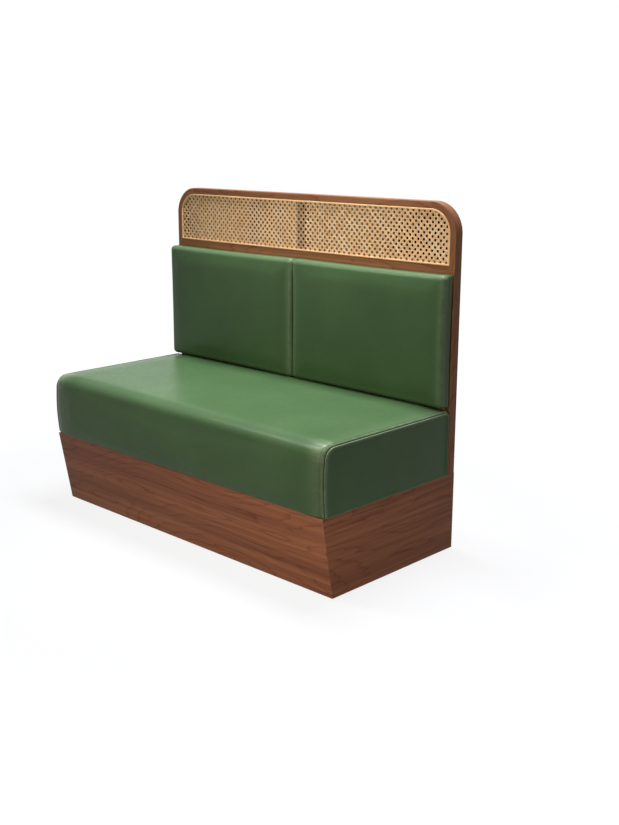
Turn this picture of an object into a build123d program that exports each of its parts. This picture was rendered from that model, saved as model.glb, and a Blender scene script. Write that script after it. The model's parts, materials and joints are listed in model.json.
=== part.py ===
from build123d import *
from math import cos, radians, sin, sqrt
import os

# Two-seat restaurant booth bench, in millimetres.
# X runs along the bench, Y from the sitter's knees to the wall, Z up.
# The origin is on the floor, under the middle of the bounding box.

# Overall sizes
bench_width = 1240.0
bench_depth = 600.0
bench_height = 1054.0
overrun = 20.0
loose_fit = 0.1

# Plinth
glide_thickness = 3.0
plinth_height = 241.0
plinth_front_inset = 14.0
toe_setback = 42.0
panel_thickness = 18.0
runner_width = 70.0
runner_thickness = 19.0
bearer_width = 80.0
rib_place = 205.0
block_size = 40.0
glide_radius = 12.0
glide_inset_x = 60.0
glide_inset_y = 32.0
glide_nail_radius = 1.4
glide_nail_length = 14.0

# Backrest frame
back_thickness = 32.5
frame_width = 21.0
frame_outer_radius = 92.0
frame_edge_round = 2.5
ledge_width = 8.0
rebate_depth = 3.2
window_height = 161.5
middle_rail_height = 50.0
noggin_height = 50.0
board_thickness = 6.0
rear_board_inset = 2.0
post_width = 60.0
post_place = 300.0
mullion_width = 30.0
dowel_radius = 4.0
dowel_length = 40.0

# Cane webbing
cane_thickness = 1.2
cane_fit = 0.3
cane_hole_radius = 7.4
cane_hole_pitch = 33.0
cane_border = 14.0
bead_width = 5.0
bead_proud = 0.8
bead_round = 1.2

# Seat
seat_overhang = 5.0
seat_height = 206.0
seat_crown = 5.0
seat_front_bulge = 5.0
seat_front_draw_in = 2.0
seat_end_bulge = 2.0
seat_front_roll = 38.0
seat_tuck_roll = 7.0
seat_tuck_in = 3.0
seat_back_roll = 16.0
seat_end_roll = 12.0
seat_end_draw_in = 3.0
seat_back_gap = 1.0
leather_thickness = 1.5
flange_setback = 5.0
seat_rail_height = 90.0
seat_rail_thickness = 28.0
seat_frame_inset_x = 16.0
seat_frame_inset_front = 24.0
seat_frame_inset_back = 8.0
cross_rail_height = 56.0
seat_block_size = 60.0
seat_block_height = 50.0
strap_width = 60.0
strap_thickness = 2.0
strap_end_inset = 5.0
cross_strap_count = 9
long_strap_count = 4
dust_cloth_thickness = 1.0

# Back pads
pad_rail_overlap = 26.5
pad_seat_gap = 3.0
pad_thickness = 45.0
pad_crown = 5.0
pad_roll = 15.0
pad_back_roll = 4.0
pad_corner_radius = 15.0
pad_draw_in = 2.0
pad_middle_gap = 2.0
pad_end_inset = 2.0
pad_board_thickness = 9.0
pad_board_inset = 8.0
pad_board_corner = 8.0
pad_flange_width = 30.0
roll_steps = 5

# Interlocking clips that the back pads hang on
clip_thickness = 2.0
clip_clearance = 0.3
clip_plate_height = 26.0
clip_hook_height = 12.0
clip_length = 60.0

# Fasteners
screw_radius = 2.25
screw_head_radius = 4.5
screw_head_height = 3.0
seat_screw_grip = 40.0
seat_screw_inset = 10.0
clip_screw_radius = 1.75
clip_screw_head_radius = 3.2
clip_screw_head_height = 1.6
clip_screw_inset = 14.0
bolt_radius = 4.0
bolt_head_radius = 7.5
bolt_head_height = 5.5
bolt_inset_z = 45.0
washer_radius = 11.0
washer_thickness = 1.6
nut_radius = 5.5
nut_length = 12.0

# Shares of the sizes that they follow
seat_section_shares = (-1.0, -0.75, -0.45, -0.15, 0.15, 0.45, 0.75, 1.0)
seat_end_crown_share = 0.3
pad_crown_shares = ((0.2, 0.5), (0.45, 0.82), (0.75, 1.0))
seat_screw_shares = (-0.9, 0.0, 0.9)
cross_rail_share = 0.34
clip_screw_share = 0.3
clip_place_share = 0.316
clip_row_shares = (0.2, 0.85)

# Worked out from the sizes above
half_width = bench_width / 2
rear_y = bench_depth / 2
plinth_top_z = glide_thickness + plinth_height
plinth_front_y = -rear_y + plinth_front_inset
front_slope = toe_setback / plinth_height
panel_run = panel_thickness * sqrt(1 + front_slope**2)
inside_x = half_width - panel_thickness
runner_z = glide_thickness + runner_thickness
bearer_z = plinth_top_z - panel_thickness

back_front_y = rear_y - back_thickness
back_middle_y = rear_y - back_thickness / 2
rear_board_y = rear_y - rear_board_inset - board_thickness
post_front_y = back_front_y + board_thickness
back_rail_y = post_front_y - panel_thickness
frame_inside_x = half_width - frame_width
frame_inside_z = bench_height - frame_width
frame_inner_radius = frame_outer_radius - frame_width
corner_x = half_width - frame_outer_radius
corner_z = bench_height - frame_outer_radius
ledge_x = frame_inside_x - ledge_width
middle_rail_top_z = frame_inside_z - window_height
ledge_top_z = middle_rail_top_z + ledge_width
middle_rail_z = middle_rail_top_z - middle_rail_height

seat_half_length = half_width + seat_overhang
seat_edge_z = plinth_top_z + seat_height
seat_back_y = back_front_y - seat_back_gap
seat_front_y = -rear_y + seat_front_bulge
seat_seam_x = seat_half_length - seat_end_bulge
seat_cover_x = seat_seam_x - leather_thickness
seat_floor_z = plinth_top_z + leather_thickness
seat_frame_x = seat_cover_x - seat_frame_inset_x
seat_frame_front_y = seat_front_y + seat_frame_inset_front
seat_frame_back_y = seat_back_y - seat_frame_inset_back
seat_inner_x = seat_frame_x - seat_rail_thickness
seat_inner_front_y = seat_frame_front_y + seat_rail_thickness
seat_inner_back_y = seat_frame_back_y - seat_rail_thickness
strap_z = seat_floor_z + seat_rail_height
foam_z = strap_z + 2 * strap_thickness

pad_hang_gap = 2 * clip_thickness + 3 * clip_clearance
pad_board_y = back_front_y - pad_hang_gap
pad_back_y = pad_board_y + leather_thickness
pad_top_z = middle_rail_z + pad_rail_overlap
pad_bottom_z = seat_edge_z + pad_seat_gap
pad_open_inset = pad_board_inset + pad_flange_width
pad_outer_x = half_width - pad_end_inset
pad_width = pad_outer_x - pad_middle_gap / 2
pad_height = pad_top_z - pad_bottom_z
pad_middle_x = pad_outer_x - pad_width / 2
pad_middle_z = pad_bottom_z + pad_height / 2

parts = {}


# Shapes that many pieces share
def slab(x0, x1, y0, y1, z0, z1):
    """A box between two corners."""
    return Pos((x0 + x1) / 2, (y0 + y1) / 2, (z0 + z1) / 2) * Box(x1 - x0, y1 - y0, z1 - z0)


def rod(start, direction, radius, length):
    """A round bar from a start point along a direction."""
    return extrude(Plane(start, z_dir=direction) * Circle(radius), length)


def side_plane(x):
    """A drawing plane whose own axes are Y and Z, at a place along the bench."""
    return Plane((x, 0, 0), x_dir=(0, 1, 0), z_dir=(1, 0, 0))


def lengthwise_bar(points, x0, x1):
    """An outline of Y and Z points run along the bench."""
    outline = make_face(Polyline(points, close=True))
    return extrude(side_plane(x0) * outline, x1 - x0)


def mirrored(solid):
    return mirror(solid, Plane.YZ)


def cut_all(solid, tools):
    for tool in tools:
        solid = solid - tool
    return solid


def together(solids):
    """Several separate solids kept as one node."""
    return Compound(children=[piece for group in solids for piece in group.solids()])


def screw(start, direction, length, gap=0.0):
    """A countersunk wood screw, from the face that its head is flush with, or its hole."""
    place = Plane(start, z_dir=direction)
    head = place * Pos(0, 0, screw_head_height / 2) * Cone(
        screw_head_radius + gap, screw_radius + gap, screw_head_height
    )
    return head + rod(start, direction, screw_radius + gap, length)


def clip_screw(start, direction, length, gap=0.0):
    """A small countersunk screw for a hanging clip, or its hole."""
    place = Plane(start, z_dir=direction)
    head = place * Pos(0, 0, clip_screw_head_height / 2) * Cone(
        clip_screw_head_radius + gap, clip_screw_radius + gap, clip_screw_head_height
    )
    return head + rod(start, direction, clip_screw_radius + gap, length)


# Plinth shapes, which follow the sloping front
def front_face_y(z):
    """The outer face of the plinth's front at a height."""
    return plinth_front_y + front_slope * (plinth_top_z - z)


def front_inner_y(z):
    return front_face_y(z) + panel_run


def sloped_panel(plan_points):
    """A plan outline at the plinth's top, carried down along the sloping front."""
    drop = Vector(0, front_slope, -1)
    plan = make_face(Polyline([(x, y, plinth_top_z) for x, y in plan_points], close=True))
    return extrude(plan, plinth_height * drop.length, dir=drop.normalized())


def behind_front(x0, x1, z0, z1, width):
    """A bar that lies against the back of the sloping front panel."""
    points = [
        (front_inner_y(z0), z0),
        (front_inner_y(z0) + width, z0),
        (front_inner_y(z1) + width, z1),
        (front_inner_y(z1), z1),
    ]
    return lengthwise_bar(points, x0, x1)


def rib_between(x, back_y, z0, z1):
    """An upright board from the front panel to the back rail, its middle at x."""
    points = [(front_inner_y(z0), z0), (back_y, z0), (back_y, z1), (front_inner_y(z1), z1)]
    return lengthwise_bar(points, x - panel_thickness / 2, x + panel_thickness / 2)


# Places of fasteners, shared by each fastener and its hole
def glide_places():
    outer_x = inside_x - glide_inset_x
    front = front_inner_y(glide_thickness) + glide_inset_y
    rear = rear_board_y - glide_inset_y
    return [(x, y) for x in (-outer_x, 0.0, outer_x) for y in (front, rear)]


def glide_nails(gap=0.0):
    return [
        rod((x, y, glide_thickness), (0, 0, 1), glide_nail_radius + gap, glide_nail_length)
        for x, y in glide_places()
    ]


def block_screws(gap=0.0):
    """Screws through the corner blocks into the plinth's ends."""
    screws = []
    inner_x = inside_x - block_size
    length = block_size + panel_thickness / 2
    rear = back_rail_y - block_size / 2
    for z in (runner_z + bolt_inset_z, bearer_z - bolt_inset_z):
        front = front_inner_y(z) + block_size / 2
        for y in (front, rear):
            for side in (-1, 1):
                screws.append(screw((side * inner_x, y, z), (side, 0, 0), length, gap))
    return screws


def post_middles():
    return (-post_place, 0.0, post_place)


def bolt_places():
    heights = (runner_z + bolt_inset_z, bearer_z - bolt_inset_z)
    return [(x, z) for x in post_middles() for z in heights]


def post_bolts(gap=0.0):
    """Bolts through the plinth's back rail into the posts."""
    bolts = []
    length = rear_board_y - back_rail_y
    for x, z in bolt_places():
        head_y = back_rail_y - washer_thickness
        shank = rod((x, head_y, z), (0, 1, 0), bolt_radius + gap, length)
        head = extrude(
            Plane((x, head_y, z), z_dir=(0, -1, 0)) * RegularPolygon(bolt_head_radius, 6),
            bolt_head_height,
        )
        bolts.append(shank if gap else shank + head)
    return bolts


def post_washers():
    return [
        rod((x, back_rail_y, z), (0, -1, 0), washer_radius, washer_thickness)
        - rod((x, back_rail_y, z), (0, -1, 0), bolt_radius + loose_fit, washer_thickness)
        for x, z in bolt_places()
    ]


def post_nuts(gap=0.0):
    """Round nuts let into the backs of the posts, or their holes."""
    nuts = []
    for x, z in bolt_places():
        start = (x, rear_board_y - nut_length, z)
        nut = rod(start, (0, 1, 0), nut_radius + gap, nut_length)
        if not gap:
            nut = nut - rod(start, (0, 1, 0), bolt_radius + loose_fit, nut_length)
        nuts.append(nut)
    return nuts


def frame_dowels(gap=0.0):
    """Dowels across the joints of the backrest frame and down into the plinth."""
    radius = dowel_radius + gap
    half_length = dowel_length / 2
    stile_x = half_width - frame_width / 2
    rail_z = bench_height - frame_width / 2
    end_panel_x = half_width - panel_thickness / 2
    cross_z = middle_rail_top_z - middle_rail_height / 2
    dowels = []
    for side in (-1, 1):
        for x, z in ((stile_x, corner_z), (end_panel_x, plinth_top_z)):
            start = (side * x, back_middle_y, z - half_length)
            dowels.append(rod(start, (0, 0, 1), radius, dowel_length))
        start = (side * (corner_x - half_length), back_middle_y, rail_z)
        dowels.append(rod(start, (side, 0, 0), radius, dowel_length))
        start = (side * stile_x, back_middle_y, cross_z)
        dowels.append(rod(start, (-side, 0, 0), radius, dowel_length))
    return dowels


def seat_screws(gap=0.0):
    """Screws up through the plinth's bearers into the seat frame."""
    length = panel_thickness + leather_thickness + seat_screw_grip
    rows = (seat_inner_front_y - seat_screw_inset, seat_inner_back_y + seat_screw_inset)
    return [
        screw((share * seat_inner_x, y, bearer_z), (0, 0, 1), length, gap)
        for share in seat_screw_shares
        for y in rows
    ]


# Plinth
def make_plinth_panels():
    inner_front_y = plinth_front_y + panel_run
    parts["plinth_front_panel"] = sloped_panel(
        [
            (-half_width, plinth_front_y),
            (half_width, plinth_front_y),
            (inside_x, inner_front_y),
            (-inside_x, inner_front_y),
        ]
    )
    end_panel = sloped_panel(
        [(half_width, plinth_front_y), (half_width, 0), (inside_x, 0), (inside_x, inner_front_y)]
    )
    end_panel = end_panel + slab(inside_x, half_width, 0, rear_y, glide_thickness, plinth_top_z)
    holes = frame_dowels(loose_fit) + block_screws(loose_fit)
    parts["plinth_right_panel"] = cut_all(end_panel, holes)
    parts["plinth_left_panel"] = cut_all(mirrored(end_panel), holes)
    parts["plinth_back_board"] = slab(
        -inside_x, inside_x, rear_board_y, rear_board_y + board_thickness, glide_thickness, plinth_top_z
    )


def make_plinth_frame():
    nail_holes = glide_nails(loose_fit)
    front_runner = behind_front(-inside_x, inside_x, glide_thickness, runner_z, runner_width)
    back_runner = slab(
        -inside_x, inside_x, rear_board_y - runner_width, rear_board_y, glide_thickness, runner_z
    )
    parts["plinth_front_runner"] = cut_all(front_runner, nail_holes)
    parts["plinth_back_runner"] = cut_all(back_runner, nail_holes)

    screw_holes = seat_screws(loose_fit)
    front_bearer = behind_front(-inside_x, inside_x, bearer_z, plinth_top_z, bearer_width)
    back_bearer = slab(
        -inside_x, inside_x, post_front_y - bearer_width, rear_board_y, bearer_z, plinth_top_z
    )
    parts["plinth_front_bearer"] = cut_all(front_bearer, screw_holes)
    parts["plinth_back_bearer"] = cut_all(back_bearer, screw_holes + post_blanks(loose_fit))

    back_rail = slab(-inside_x, inside_x, back_rail_y, post_front_y, runner_z, bearer_z)
    parts["plinth_back_rail"] = cut_all(back_rail, post_bolts(loose_fit))

    rib = rib_between(rib_place, back_rail_y, runner_z, bearer_z)
    parts["plinth_right_rib"] = rib
    parts["plinth_left_rib"] = mirrored(rib)


def make_plinth_fittings():
    block_x = inside_x - block_size
    front_block = behind_front(block_x, inside_x, runner_z, bearer_z, block_size)
    rear_block = slab(block_x, inside_x, back_rail_y - block_size, back_rail_y, runner_z, bearer_z)
    holes = block_screws(loose_fit)
    blocks = [front_block, mirrored(front_block), rear_block, mirrored(rear_block)]
    parts["plinth_corner_blocks"] = together([cut_all(block, holes) for block in blocks])
    parts["corner_block_screws"] = together(block_screws())
    parts["floor_glides"] = together(
        [rod((x, y, 0), (0, 0, 1), glide_radius, glide_thickness) for x, y in glide_places()]
    )
    parts["glide_nails"] = together(glide_nails())
    parts["seat_fixing_screws"] = together(seat_screws())


# Backrest frame
def quarter_ring(inner, outer, y0, y1):
    """A quarter ring round the right top corner's centre."""
    ring = Plane((corner_x, y1, corner_z), z_dir=(0, -1, 0)) * (Circle(outer) - Circle(inner))
    quarter = slab(corner_x, half_width + overrun, y0, y1, corner_z, bench_height + overrun)
    return extrude(ring, y1 - y0) & quarter


def outer_edges(solid, group_axis, kept_axis):
    """The two long edges of a bar that face out of the bench."""
    return solid.edges().filter_by(kept_axis).group_by(group_axis)[-1]


def make_stiles():
    stile = slab(frame_inside_x, half_width, back_front_y, rear_y, plinth_top_z, corner_z)
    stile = fillet(outer_edges(stile, Axis.X, Axis.Z), frame_edge_round)
    stile = stile + slab(
        ledge_x,
        frame_inside_x,
        back_front_y + rebate_depth,
        rear_y - rebate_depth,
        middle_rail_top_z,
        corner_z,
    )
    holes = frame_dowels(loose_fit)
    parts["right_stile"] = cut_all(stile, holes)
    parts["left_stile"] = cut_all(mirrored(stile), holes)


def make_rails():
    holes = frame_dowels(loose_fit)
    top_rail = slab(-corner_x, corner_x, back_front_y, rear_y, frame_inside_z, bench_height)
    top_rail = fillet(outer_edges(top_rail, Axis.Z, Axis.X), frame_edge_round)
    top_rail = top_rail + slab(
        -corner_x,
        corner_x,
        back_front_y + rebate_depth,
        rear_y - rebate_depth,
        frame_inside_z - ledge_width,
        frame_inside_z,
    )
    parts["top_rail"] = cut_all(top_rail, holes)

    middle_rail = slab(
        -frame_inside_x, frame_inside_x, back_front_y, rear_y, middle_rail_z, middle_rail_top_z
    )
    middle_rail = middle_rail + slab(
        -ledge_x,
        ledge_x,
        back_front_y + rebate_depth,
        rear_y - rebate_depth,
        middle_rail_top_z,
        ledge_top_z,
    )
    parts["middle_rail"] = cut_all(middle_rail, holes)


def make_corner_blocks():
    corner = quarter_ring(frame_inner_radius, frame_outer_radius, back_front_y, rear_y)
    outer_arcs = corner.edges().filter_by(GeomType.CIRCLE).sort_by(SortBy.RADIUS)[-2:]
    corner = fillet(outer_arcs, frame_edge_round)
    corner = corner + quarter_ring(
        frame_inner_radius - ledge_width,
        frame_inner_radius,
        back_front_y + rebate_depth,
        rear_y - rebate_depth,
    )
    holes = frame_dowels(loose_fit)
    parts["right_top_corner"] = cut_all(corner, holes)
    parts["left_top_corner"] = cut_all(mirrored(corner), holes)


def post_blanks(gap=0.0):
    reach = post_width / 2 + gap
    return [
        slab(x - reach, x + reach, post_front_y, rear_board_y, runner_z, middle_rail_z)
        for x in post_middles()
    ]


def make_back_carcase():
    bolt_holes = post_bolts(loose_fit) + post_nuts(loose_fit)
    parts["support_posts"] = together([cut_all(post, bolt_holes) for post in post_blanks()])
    parts["post_bolts"] = together(post_bolts())
    parts["post_washers"] = together(post_washers())
    parts["post_nuts"] = together(post_nuts())

    half_post = post_width / 2
    edges = [-frame_inside_x]
    for x in post_middles():
        edges += [x - half_post, x + half_post]
    edges.append(frame_inside_x)
    parts["back_noggins"] = together(
        [
            slab(x0, x1, post_front_y, rear_board_y, plinth_top_z, plinth_top_z + noggin_height)
            for x0, x1 in zip(edges[::2], edges[1::2])
        ]
    )
    front_board = slab(
        -frame_inside_x, frame_inside_x, back_front_y, post_front_y, plinth_top_z, middle_rail_z
    )
    parts["back_front_board"] = cut_all(front_board, panel_clip_screws(loose_fit))
    parts["back_rear_board"] = slab(
        -frame_inside_x,
        frame_inside_x,
        rear_board_y,
        rear_board_y + board_thickness,
        plinth_top_z,
        middle_rail_z,
    )
    parts["frame_dowels"] = together(frame_dowels())
    parts["cane_mullion"] = slab(
        -mullion_width / 2,
        mullion_width / 2,
        back_front_y + rebate_depth,
        rear_y - rebate_depth,
        ledge_top_z,
        frame_inside_z - ledge_width,
    )


# Cane webbing
def cane_outline(inset):
    """The window's outline, square below and round above, drawn in by an inset."""
    x = frame_inside_x - inset
    low = middle_rail_top_z + inset
    high = frame_inside_z - inset
    radius = frame_inner_radius - inset
    middle = radius * sin(radians(45))
    right = ThreePointArc(
        (corner_x + radius, corner_z), (corner_x + middle, corner_z + middle), (corner_x, high)
    )
    left = ThreePointArc(
        (-corner_x, high), (-corner_x - middle, corner_z + middle), (-corner_x - radius, corner_z)
    )
    lines = Polyline((-x, corner_z), (-x, low), (x, low), (x, corner_z))
    return [lines, right, Line((corner_x, high), (-corner_x, high)), left]


def window_plane(y):
    return Plane((0, y, 0), x_dir=(1, 0, 0), z_dir=(0, -1, 0))


def cane_hole_places():
    """A staggered pattern of holes that fills the window inside its border."""
    reach_x = frame_inside_x - cane_border - cane_hole_radius
    low = middle_rail_top_z + cane_border + cane_hole_radius
    high = frame_inside_z - cane_border - cane_hole_radius
    half_pitch = cane_hole_pitch / 2
    rows = int((high - low) // half_pitch) + 1
    columns = int(reach_x // half_pitch)
    first_z = (low + high - (rows - 1) * half_pitch) / 2
    reach_corner = frame_inner_radius - cane_border - cane_hole_radius
    places = []
    for row in range(rows):
        z = first_z + row * half_pitch
        for column in range(-columns, columns + 1):
            x = column * half_pitch
            past_corner = abs(x) > corner_x and z > corner_z
            outside = past_corner and (abs(x) - corner_x) ** 2 + (z - corner_z) ** 2 > reach_corner**2
            if (row + column) % 2 == 0 and not outside:
                places.append((x, z))
    return places


def cane_sheet(y):
    """One holed sheet of cane whose front face is at y."""
    outline = make_face(cane_outline(cane_fit)).wire()
    holes = [(Pos(x, z) * Circle(cane_hole_radius)).wire() for x, z in cane_hole_places()]
    face = Face(outline, holes)
    if face.normal_at().Z < 0:
        face = -face
    return extrude(window_plane(y + cane_thickness) * face, cane_thickness)


def cane_bead(flat_y, height):
    """The strip that holds a sheet's edge, its flat side at flat_y and its round side in front."""
    ring = make_face(cane_outline(0)) - make_face(cane_outline(bead_width))
    bead = extrude(window_plane(flat_y) * ring, height)
    face = bead.faces().sort_by(Axis.Y)[0]
    return fillet(face.edges(), bead_round)


def make_cane():
    front_y = back_front_y + rebate_depth - cane_thickness
    rear_sheet_y = rear_y - rebate_depth
    parts["front_cane"] = cane_sheet(front_y)
    parts["rear_cane"] = cane_sheet(rear_sheet_y)
    room = rebate_depth - cane_thickness
    parts["front_cane_bead"] = cane_bead(front_y, room + bead_proud)
    rear_bead = cane_bead(back_front_y + room, room)
    parts["rear_cane_bead"] = mirror(rear_bead, Plane.XZ.offset(-back_middle_y))


# Seat
def seat_profile(x, inset, share):
    """The seat's side outline at x, drawn in by an inset. The share is the place along the seat."""
    rear = seat_back_y - inset
    low = plinth_top_z + inset
    high = seat_edge_z - inset
    front = seat_front_y + inset + seat_front_draw_in * (1 - share**2)
    crown = seat_crown * (1 - (1 - seat_end_crown_share) * share**2)
    back_turn = seat_back_roll * (1 - cos(radians(45)))
    front_turn = seat_front_roll * (1 - cos(radians(45)))
    tuck_turn = seat_tuck_roll * (1 - cos(radians(45)))
    tucked = front + seat_tuck_in
    edges = [
        Line((rear, low), (rear, high - seat_back_roll)),
        ThreePointArc(
            (rear, high - seat_back_roll),
            (rear - back_turn, high - back_turn),
            (rear - seat_back_roll, high),
        ),
        ThreePointArc(
            (rear - seat_back_roll, high),
            ((rear + front) / 2, high + crown),
            (front + seat_front_roll, high),
        ),
        ThreePointArc(
            (front + seat_front_roll, high),
            (front + front_turn, high - front_turn),
            (front, high - seat_front_roll),
        ),
        ThreePointArc(
            (front, high - seat_front_roll),
            (front - seat_front_bulge, (high + low) / 2),
            (tucked, low + seat_tuck_roll),
        ),
        ThreePointArc(
            (tucked, low + seat_tuck_roll),
            (tucked + tuck_turn, low + tuck_turn),
            (tucked + seat_tuck_roll, low),
        ),
        Line((tucked + seat_tuck_roll, low), (rear, low)),
    ]
    return side_plane(x) * make_face(edges)


def seat_form(inset):
    """The seat between its end seams, drawn in by an inset, as a loft through side outlines."""
    straight_x = seat_cover_x - seat_end_roll
    shoulder_x = seat_cover_x - seat_end_roll / 3
    sections = [seat_profile(-seat_cover_x, inset + seat_end_draw_in, -1)]
    sections.append(seat_profile(-shoulder_x, inset + seat_end_draw_in / 3, -1))
    for share in seat_section_shares:
        sections.append(seat_profile(share * straight_x, inset, share))
    sections.append(seat_profile(shoulder_x, inset + seat_end_draw_in / 3, 1))
    sections.append(seat_profile(seat_cover_x, inset + seat_end_draw_in, 1))
    return loft(sections, ruled=True)


def make_seat_cover():
    core = seat_form(leather_thickness)
    flange_x = seat_inner_x + flange_setback
    flange_front_y = seat_inner_front_y - flange_setback
    flange_back_y = seat_inner_back_y + flange_setback
    opening = slab(
        -flange_x,
        flange_x,
        flange_front_y,
        flange_back_y,
        glide_thickness,
        seat_floor_z + seat_end_draw_in,
    )
    cover = seat_form(0) - core - opening
    parts["seat_cover"] = cut_all(cover, seat_screws(loose_fit))

    frame_room = slab(
        -seat_frame_x, seat_frame_x, seat_frame_front_y, seat_frame_back_y, glide_thickness, foam_z
    )
    parts["seat_foam"] = core - frame_room

    end_panel = loft(
        [
            seat_profile(seat_cover_x, seat_end_draw_in, 1),
            seat_profile(seat_seam_x, seat_end_draw_in, 1),
            seat_profile(seat_half_length, seat_front_roll, 1),
        ],
        ruled=True,
    )
    parts["seat_right_end_panel"] = end_panel
    parts["seat_left_end_panel"] = mirrored(end_panel)

    parts["seat_dust_cloth"] = slab(
        -flange_x + loose_fit,
        flange_x - loose_fit,
        flange_front_y + loose_fit,
        flange_back_y - loose_fit,
        seat_floor_z - dust_cloth_thickness,
        seat_floor_z,
    )


def make_seat_frame():
    top = seat_floor_z + seat_rail_height
    holes = seat_screws(loose_fit)
    front_rail = slab(
        -seat_frame_x, seat_frame_x, seat_frame_front_y, seat_inner_front_y, seat_floor_z, top
    )
    back_rail = slab(
        -seat_frame_x, seat_frame_x, seat_inner_back_y, seat_frame_back_y, seat_floor_z, top
    )
    end_rail = slab(
        seat_inner_x, seat_frame_x, seat_inner_front_y, seat_inner_back_y, seat_floor_z, top
    )
    parts["seat_front_rail"] = cut_all(front_rail, holes)
    parts["seat_back_rail"] = cut_all(back_rail, holes)
    parts["seat_right_rail"] = end_rail
    parts["seat_left_rail"] = mirrored(end_rail)

    cross_x = cross_rail_share * seat_inner_x
    cross_rail = slab(
        cross_x - seat_rail_thickness / 2,
        cross_x + seat_rail_thickness / 2,
        seat_inner_front_y,
        seat_inner_back_y,
        seat_floor_z,
        seat_floor_z + cross_rail_height,
    )
    parts["seat_cross_rails"] = together([cross_rail, mirrored(cross_rail)])

    blocks = []
    for y, direction in ((seat_inner_front_y, 1), (seat_inner_back_y, -1)):
        plan = make_face(
            Polyline(
                (seat_inner_x, y),
                (seat_inner_x - seat_block_size, y),
                (seat_inner_x, y + direction * seat_block_size),
                close=True,
            )
        )
        block = extrude(Pos(0, 0, top - seat_block_height) * plan, seat_block_height, dir=(0, 0, 1))
        blocks += [block, mirrored(block)]
    parts["seat_corner_blocks"] = together(blocks)


def evenly(low, high, count):
    """Middles of a number of equal bays between two places."""
    return [low + (high - low) * (index + 0.5) / count for index in range(count)]


def make_seat_straps():
    half_strap = strap_width / 2
    front = seat_frame_front_y + strap_end_inset
    rear = seat_frame_back_y - strap_end_inset
    reach = seat_frame_x - strap_end_inset
    parts["seat_cross_straps"] = together(
        [
            slab(x - half_strap, x + half_strap, front, rear, strap_z, strap_z + strap_thickness)
            for x in evenly(-seat_inner_x, seat_inner_x, cross_strap_count)
        ]
    )
    parts["seat_long_straps"] = together(
        [
            slab(-reach, reach, y - half_strap, y + half_strap, strap_z + strap_thickness, foam_z)
            for y in evenly(seat_inner_front_y, seat_inner_back_y, long_strap_count)
        ]
    )


# Back pads
def pad_outline(inset):
    """A pad's front outline, its sides drawn in between round corners."""
    x = pad_width / 2 - inset
    z = pad_height / 2 - inset
    radius = pad_corner_radius
    turn = radius * (1 - cos(radians(45)))
    edges = []
    for side_x, side_z in ((1, 1), (-1, 1), (-1, -1), (1, -1)):
        edges.append(
            ThreePointArc(
                (side_x * x, side_z * (z - radius)),
                (side_x * (x - turn), side_z * (z - turn)),
                (side_x * (x - radius), side_z * z),
            )
        )
    for side in (-1, 1):
        flat_z = side * z
        edges.append(
            ThreePointArc((-x + radius, flat_z), (0, flat_z - side * pad_draw_in), (x - radius, flat_z))
        )
        flat_x = side * x
        edges.append(
            ThreePointArc((flat_x, -z + radius), (flat_x - side * pad_draw_in, 0), (flat_x, z - radius))
        )
    return make_face(edges)


def pad_levels(depth):
    """Distances in front of the pad's back, each with its inset: back roll, front roll, crown."""
    levels = []
    for step in range(roll_steps + 1):
        turn = radians(90) * step / roll_steps
        levels.append((pad_back_roll * (1 - cos(turn)), pad_back_roll * (1 - sin(turn))))
    for step in range(roll_steps + 1):
        turn = radians(90) * step / roll_steps
        levels.append((depth - pad_roll * (1 - sin(turn)), pad_roll * (1 - cos(turn))))
    reach = pad_height / 2 - pad_roll - pad_corner_radius
    for inset_share, rise_share in pad_crown_shares:
        levels.append((depth + pad_crown * rise_share, pad_roll + reach * inset_share))
    return levels


def pad_form(inset):
    """A whole pad, drawn in by an inset, as a loft through front outlines."""
    back_y = pad_back_y - inset
    sections = []
    for distance, level_inset in pad_levels(pad_thickness - 2 * inset):
        place = Plane(
            (pad_middle_x, back_y - distance, pad_middle_z), x_dir=(1, 0, 0), z_dir=(0, -1, 0)
        )
        sections.append(place * pad_outline(level_inset + inset))
    return loft(sections, ruled=True)


def pad_slab(inset, y0, y1):
    """A flat piece of the pad's size, drawn in by an inset on every side."""
    reach_x = pad_width / 2 - inset
    reach_z = pad_height / 2 - inset
    return slab(
        pad_middle_x - reach_x,
        pad_middle_x + reach_x,
        y0,
        y1,
        pad_middle_z - reach_z,
        pad_middle_z + reach_z,
    )


def both_pads(name, solid):
    parts[f"right_pad_{name}"] = solid
    parts[f"left_pad_{name}"] = mirrored(solid)


def make_pads():
    core = pad_form(leather_thickness)
    opening = pad_slab(pad_open_inset, pad_board_y, pad_back_y + overrun)
    both_pads("cover", pad_form(0) - core - opening)

    board_front_y = pad_board_y - pad_board_thickness
    board = pad_slab(pad_board_inset, board_front_y, pad_board_y)
    board = fillet(board.edges().filter_by(Axis.Y), pad_board_corner)
    both_pads("foam", core - board)
    both_pads("board", cut_all(board, pad_clip_screws(loose_fit)))
    both_pads("clips", together(pad_clips()))
    both_pads("clip_screws", together(pad_clip_screws()))


# Hanging clips: a fixed one on the backrest and the same one, upside down, on a pad
def clip_places():
    """The middle of each clip of the right pad, and the foot of its fixed half."""
    clip_height = clip_plate_height + clip_thickness + clip_hook_height
    step_up = clip_plate_height + clip_thickness + clip_clearance
    first_z = pad_bottom_z + pad_open_inset - step_up - clip_height / 2
    open_height = pad_height - 2 * pad_open_inset
    heights = [first_z + share * open_height for share in clip_row_shares]
    offset = clip_place_share * pad_width
    return [(pad_middle_x + side * offset, z) for side in (-1, 1) for z in heights]


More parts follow.
